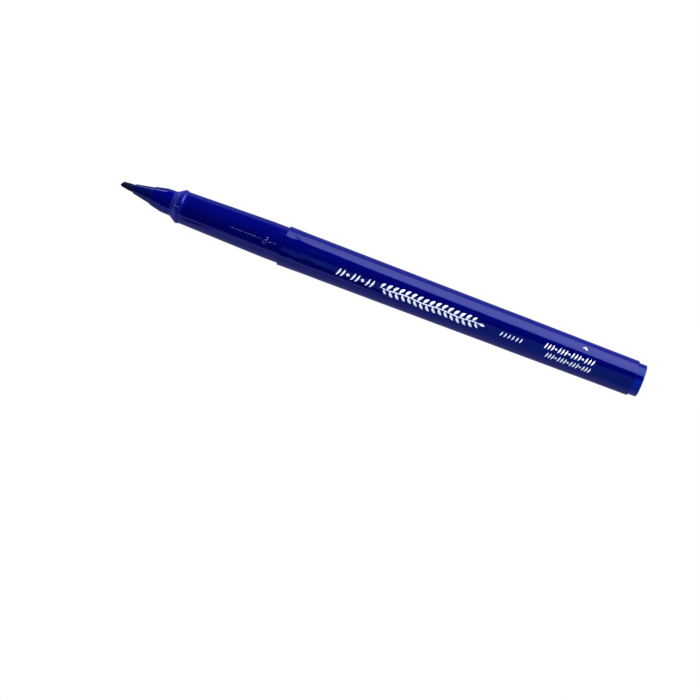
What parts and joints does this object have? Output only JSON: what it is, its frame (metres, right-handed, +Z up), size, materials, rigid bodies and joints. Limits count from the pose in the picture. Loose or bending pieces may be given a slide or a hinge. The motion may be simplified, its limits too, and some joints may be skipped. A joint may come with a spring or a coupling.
{
  "type": "calligraphy marker",
  "caption": "Uncapped fibre-tip lettering marker: slim tapered plastic barrel with a stepped cap neck and lock bead, translucent cone holder, slanted wedge nib and round tail plug.",
  "frame": {"origin": "middle of the marker's length, on the surface that it lies on, straight under its axis", "axes": "+X from the writing tip to the tail plug along the marker's axis, +Z up out of the printed side of the barrel, +Y to the side that the slanted writing face leans back to"},
  "size_m": [0.141, 0.0104, 0.0104],
  "materials": {
    "barrel_blue": "glossy injection-moulded plastic, slightly translucent",
    "holder_blue": "glossy translucent plastic",
    "plug_blue": "glossy injection-moulded plastic",
    "nib_fibre": "bonded fibre rod soaked with dark blue ink",
    "reservoir_fibre": "drawn fibre bundle soaked with ink",
    "reservoir_film": "thin clear film, ink stained",
    "white_print": "white screen-printed ink"
  },
  "bodies": {
    "marker_body": {"barrel": "barrel_blue", "nib_holder": "holder_blue", "ink_reservoir": "reservoir_fibre", "reservoir_film": "reservoir_film"},
    "nib": {"nib": "nib_fibre"},
    "tail_plug": {"tail_plug": "plug_blue"}
  },
  "joints": [
    {"name": "nib_pull", "type": "slide", "parent": "marker_body", "child": "nib", "axis": [-1, 0, 0], "range_m": [0, 0.03]},
    {"name": "tail_plug_pull", "type": "slide", "parent": "marker_body", "child": "tail_plug", "axis": [1, 0, 0], "range_m": [0, 0.01]}
  ]
}
